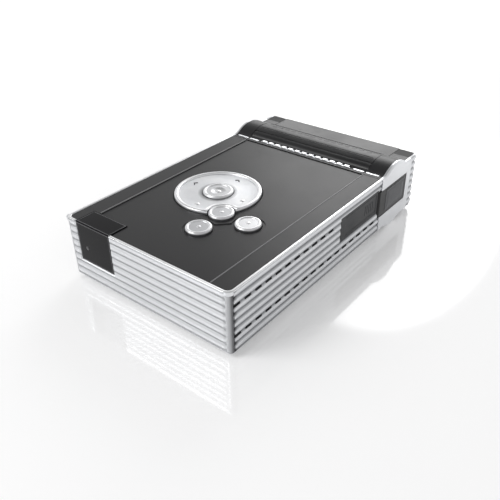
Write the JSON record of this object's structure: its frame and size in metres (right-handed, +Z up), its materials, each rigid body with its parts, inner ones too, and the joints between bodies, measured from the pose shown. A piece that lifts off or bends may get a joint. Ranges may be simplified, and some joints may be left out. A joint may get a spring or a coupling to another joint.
{
  "type": "media player with hard drive tray",
  "caption": "Portable hard-drive media player: flat ribbed metal case, black top with round control pad and keys, raised barrel at the rear, and a drive tray that slides out behind.",
  "frame": {"origin": "on the table, below the middle of the closed player", "axes": "+X to the player's right, +Y to its rear, the way the drive tray slides out, +Z up"},
  "size_m": [0.0804, 0.13, 0.0299],
  "materials": {
    "silver_aluminium": "satin anodised",
    "black_cover": "satin",
    "black_window": "gloss",
    "dark_plastic": "satin",
    "bright_key": "polished satin",
    "rubber_foot": "matte",
    "sheet_steel": "brushed",
    "cast_metal": "as cast",
    "circuit_board": "satin",
    "chip_black": "matte",
    "connector_metal": "plated",
    "flex_amber": "satin"
  },
  "bodies": {
    "player": {"front_panel": "silver_aluminium", "right_wall": "silver_aluminium", "left_wall": "silver_aluminium", "jack_plate": "dark_plastic", "top_cover": "black_cover", "ir_window": "black_window", "ir_board": "circuit_board", "window_sensors": "black_window", "bottom_cover": "silver_aluminium", "front_feet": "rubber_foot", "case_screws": "sheet_steel", "main_board": "circuit_board", "processor": "chip_black", "heat_sink": "cast_metal", "board_chips": "chip_black", "capacitors": "sheet_steel", "av_jacks": "chip_black", "usb_socket": "connector_metal", "dock_socket": "chip_black", "rear_brace": "sheet_steel", "cover_screws": "sheet_steel", "key_board": "circuit_board", "key_switches": "chip_black", "key_flex": "flex_amber", "pad_post": "dark_plastic", "port_pin": "sheet_steel"},
    "pad_gimbal": {"pad_gimbal": "dark_plastic"},
    "nav_pad": {"nav_ring": "bright_key"},
    "select_key": {"select_key": "bright_key"},
    "middle_key": {"middle_key": "bright_key"},
    "left_key": {"left_key": "bright_key"},
    "right_key": {"right_key": "bright_key"},
    "port_cover": {"port_cover": "dark_plastic"},
    "drive_tray": {"module_body": "black_cover", "grip_strip": "silver_aluminium", "right_cheek": "silver_aluminium", "left_cheek": "silver_aluminium", "rear_feet": "rubber_foot", "tray_screws": "sheet_steel", "rear_frame": "silver_aluminium", "flap_pin": "sheet_steel", "tray_frame": "sheet_steel", "drive_screws": "sheet_steel", "drive_base": "cast_metal", "drive_cover": "sheet_steel", "drive_board": "circuit_board", "drive_pins": "chip_black", "dock_board": "circuit_board", "dock_plugs": "chip_black", "port_board": "circuit_board", "tray_usb": "connector_metal", "power_jack": "chip_black", "port_flex": "flex_amber"},
    "rear_flap": {"rear_flap": "black_cover", "flap_trim": "silver_aluminium"},
    "right_release": {"right_release": "dark_plastic", "right_spring": "sheet_steel"},
    "left_release": {"left_release": "dark_plastic", "left_spring": "sheet_steel"}
  },
  "joints": [
    {"name": "tray_slide", "type": "slide", "parent": "player", "child": "drive_tray", "axis": [0, 1, 0], "range_m": [0, 0.088]},
    {"name": "flap_hinge", "type": "hinge", "parent": "drive_tray", "child": "rear_flap", "pos_m": [0, 0.03943, 0.02464], "axis": [1, 0, 0], "range_deg": [0, 50]},
    {"name": "right_release_press", "type": "slide", "parent": "drive_tray", "child": "right_release", "axis": [-1, 0, 0], "range_m": [0, 0.0009], "stiffness_N_per_m": 600},
    {"name": "left_release_press", "type": "slide", "parent": "drive_tray", "child": "left_release", "axis": [1, 0, 0], "range_m": [0, 0.0009], "stiffness_N_per_m": 600},
    {"name": "port_cover_hinge", "type": "hinge", "parent": "player", "child": "port_cover", "pos_m": [0.03893, 0.00178, 0.017], "axis": [0, 0, -1], "range_deg": [0, 90]},
    {"name": "pad_rock", "type": "hinge", "parent": "player", "child": "pad_gimbal", "pos_m": [-0.0067, -0.0161, 0.0245], "axis": [0.7071, -0.7071, 0], "range_deg": [-2.5, 2.5], "stiffness_Nm_per_rad": 0.06},
    {"name": "pad_tilt", "type": "hinge", "parent": "pad_gimbal", "child": "nav_pad", "pos_m": [-0.0067, -0.0161, 0.0245], "axis": [0.7071, 0.7071, 0], "range_deg": [-2.5, 2.5], "stiffness_Nm_per_rad": 0.06},
    {"name": "select_key_press", "type": "slide", "parent": "player", "child": "select_key", "axis": [0, 0, -1], "range_m": [0, 0.0005], "stiffness_N_per_m": 800},
    {"name": "middle_key_press", "type": "slide", "parent": "player", "child": "middle_key", "axis": [0, 0, -1], "range_m": [0, 0.0005], "stiffness_N_per_m": 800},
    {"name": "left_key_press", "type": "slide", "parent": "player", "child": "left_key", "axis": [0, 0, -1], "range_m": [0, 0.0005], "stiffness_N_per_m": 800},
    {"name": "right_key_press", "type": "slide", "parent": "player", "child": "right_key", "axis": [0, 0, -1], "range_m": [0, 0.0005], "stiffness_N_per_m": 800}
  ]
}
